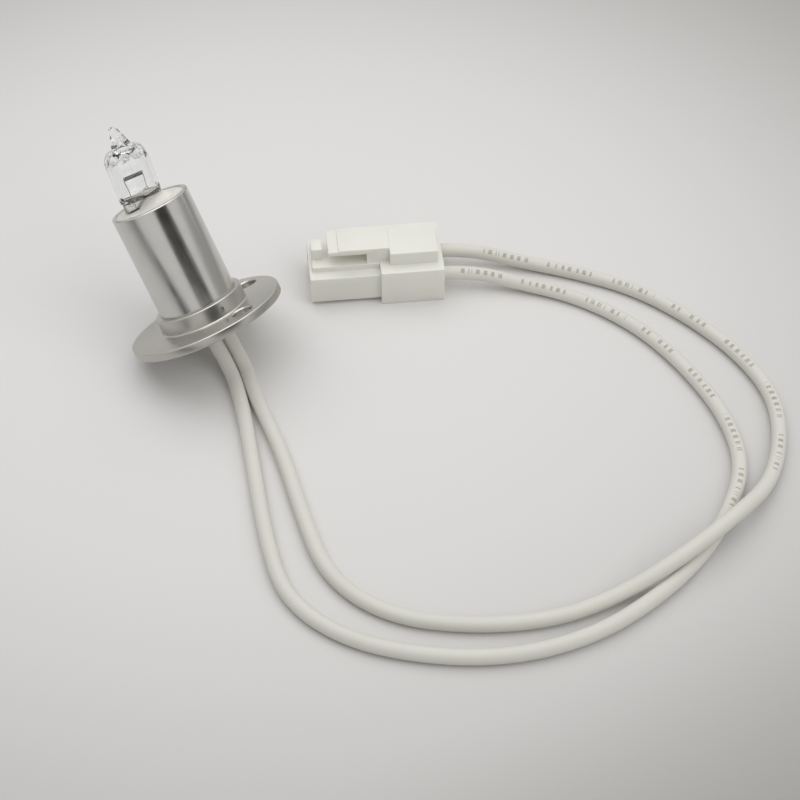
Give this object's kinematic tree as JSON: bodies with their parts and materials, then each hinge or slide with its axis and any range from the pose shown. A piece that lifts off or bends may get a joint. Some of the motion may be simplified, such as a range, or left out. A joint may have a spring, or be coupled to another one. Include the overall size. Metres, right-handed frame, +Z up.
{
  "type": "analyzer halogen lamp",
  "caption": "Halogen lamp for an analyzer: quartz capsule potted in a flanged aluminium barrel, with wire leads to a nylon plug, lying at rest on a table",
  "frame": {"origin": "on the table, under the middle of the lamp's bounding box (leads and plug not counted)", "axes": "+Z up from the table; the lamp's axis leans 33 degrees from +Z toward +Y, over the lowest point of its flange; the leads and plug lie toward -Y and +X"},
  "size_m": [0.1159, 0.1375, 0.0475],
  "materials": {
    "flange_metal": "polished, turned",
    "barrel_metal": "satin, drawn lengthwise",
    "pin_steel": "dull",
    "ceramic": "unglazed ceramic",
    "cement": "cast, slightly rough",
    "quartz": "clear quartz",
    "tungsten": "dull grey",
    "molybdenum": "drawn wire",
    "foil": "rolled foil",
    "pin_nickel": "drawn wire",
    "ferrule": "tinned",
    "sleeve": "braided glass fibre",
    "bush": "machined",
    "wire_jacket": "soft matt",
    "nylon": "moulded natural nylon",
    "contact_metal": "tinned"
  },
  "bodies": {
    "root": {"flange": "flange_metal", "barrel": "barrel_metal", "collar_pin": "pin_steel", "ceramic_base": "ceramic", "cement": "cement", "capsule": "quartz", "filament": "tungsten", "inner_lead_left": "molybdenum", "inner_lead_right": "molybdenum", "foil_left": "foil", "foil_right": "foil", "contact_pin_left": "pin_nickel", "contact_pin_right": "pin_nickel", "splice_left": "ferrule", "splice_right": "ferrule", "sleeve_left": "sleeve", "sleeve_right": "sleeve", "wire_bush": "bush", "lead_outer": "wire_jacket", "lead_inner": "wire_jacket", "plug_housing": "nylon", "terminal_outer": "contact_metal", "terminal_inner": "contact_metal"}
  },
  "joints": []
}
